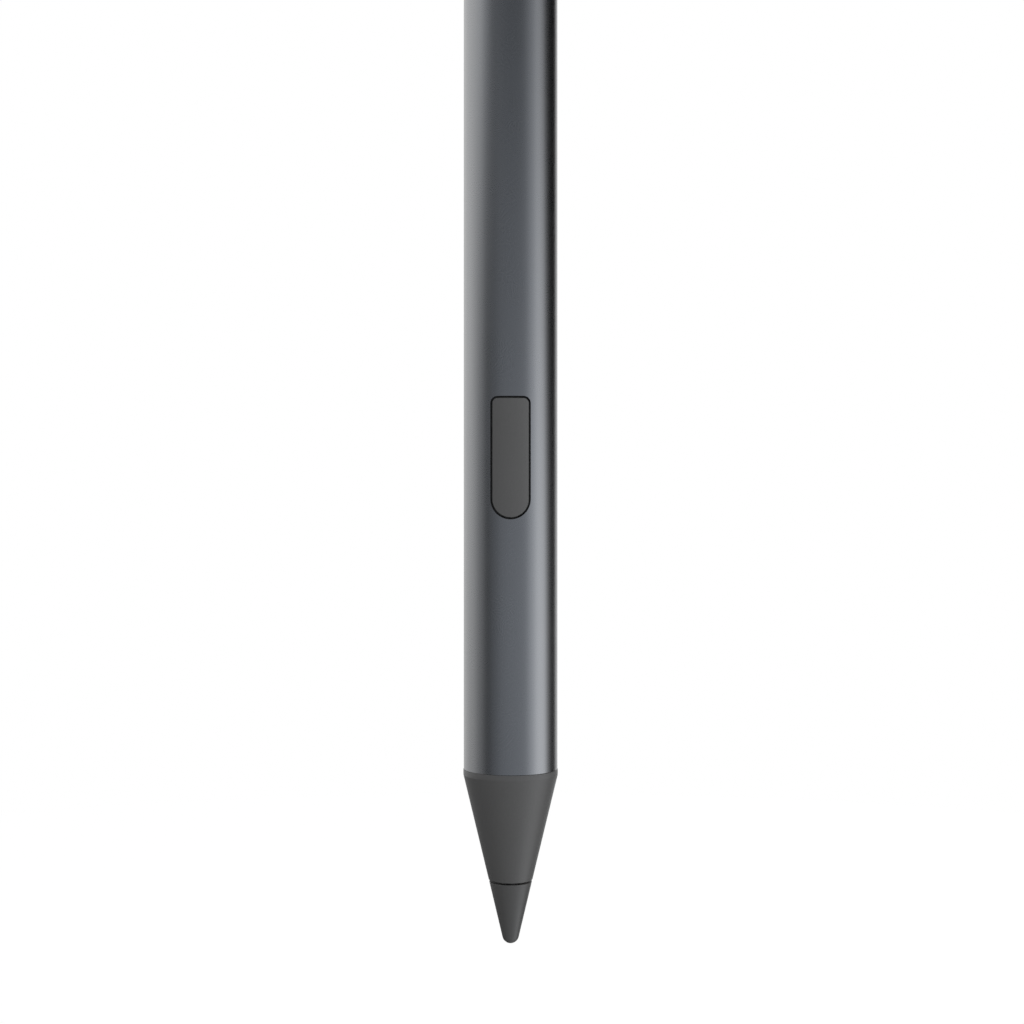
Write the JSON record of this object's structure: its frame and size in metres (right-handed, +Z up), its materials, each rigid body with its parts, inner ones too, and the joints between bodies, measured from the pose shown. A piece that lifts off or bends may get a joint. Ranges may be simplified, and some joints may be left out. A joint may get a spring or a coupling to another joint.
{
  "type": "stylus pen",
  "caption": "Active stylus pen with a metal barrel, a tapered plastic tip with a pull-off nib, a flush side button and a tail sleeve that slides up to bare its charging port.",
  "frame": {"origin": "the nib's point, on the pen's axis", "axes": "+Z up the pen's axis from the nib to the tail; the side button and the charging port face -Y"},
  "size_m": [0.0096, 0.0096, 0.1584],
  "materials": {
    "anodised_metal": "bead blasted and anodised, satin",
    "body_plastic": "fine spark-eroded texture",
    "nib_plastic": "smooth matte",
    "shaft_steel": "turned",
    "spring_steel": "drawn wire",
    "bush_polymer": "machined",
    "electrode_metal": "plated",
    "silicone": "translucent grey",
    "sensor_metal": "plated can",
    "frame_plastic": "moulded black",
    "board_laminate": "solder mask",
    "screw_steel": "zinc plated",
    "chip_resin": "moulded epoxy",
    "passive_body": "fired ceramic",
    "connector_plastic": "moulded",
    "switch_metal": "stamped cover",
    "switch_plastic": "moulded",
    "cell_can": "drawn can",
    "foam": "closed-cell foam",
    "nickel": "nickel strip",
    "polyimide": "film",
    "core_plastic": "moulded",
    "port_steel": "plated shell",
    "tongue_plastic": "moulded",
    "contact_gold": "gold plated",
    "lamp_resin": "diffusing",
    "clear_plastic": "polished",
    "antenna_copper": "film conductor",
    "seal_rubber": "moulded ring"
  },
  "bodies": {
    "body": {"barrel": "anodised_metal", "front_cone": "body_plastic", "lower_guide_bush": "bush_polymer", "upper_guide_bush": "bush_polymer", "tilt_electrode": "electrode_metal", "return_spring": "spring_steel", "pressure_pad": "silicone", "pressure_sensor": "sensor_metal", "sensor_cap": "frame_plastic", "sensor_ribbon": "polyimide", "inner_frame": "frame_plastic", "circuit_board": "board_laminate", "board_screws": "screw_steel", "controller_chip": "chip_resin", "radio_chip": "chip_resin", "charger_chip": "chip_resin", "board_passives": "passive_body", "flex_connector": "connector_plastic", "switch_body": "switch_metal", "battery_cell": "cell_can", "battery_pad": "foam", "battery_tabs": "nickel", "ribbon_cable": "polyimide", "port_core_front": "core_plastic", "port_core_rear": "core_plastic", "port_shell": "port_steel", "port_tongue": "tongue_plastic", "port_contacts": "contact_gold", "port_board": "board_laminate", "charge_led": "lamp_resin", "light_pipe": "clear_plastic", "antenna_strip": "antenna_copper", "sleeve_seal": "seal_rubber"},
    "shaft": {"writing_shaft": "shaft_steel"},
    "nib": {"nib": "nib_plastic", "nib_sleeve": "nickel"},
    "button": {"side_button": "body_plastic", "switch_actuator": "switch_plastic"},
    "tail": {"tail_sleeve": "anodised_metal", "tail_end_cap": "body_plastic", "stop_pin": "screw_steel"}
  },
  "joints": [
    {"name": "nib_press", "type": "slide", "parent": "body", "child": "shaft", "axis": [0, 0, 1], "range_m": [0, 0.00012], "stiffness_N_per_m": 5000, "deforming": ["return_spring", "pressure_pad"]},
    {"name": "nib_pull", "type": "slide", "parent": "shaft", "child": "nib", "axis": [0, 0, -1], "range_m": [0, 0.008]},
    {"name": "button_press", "type": "slide", "parent": "body", "child": "button", "axis": [0, 1, 0], "range_m": [0, 0.00025], "stiffness_N_per_m": 4000},
    {"name": "sleeve_slide", "type": "slide", "parent": "body", "child": "tail", "axis": [0, 0, 1], "range_m": [0, 0.014]}
  ]
}
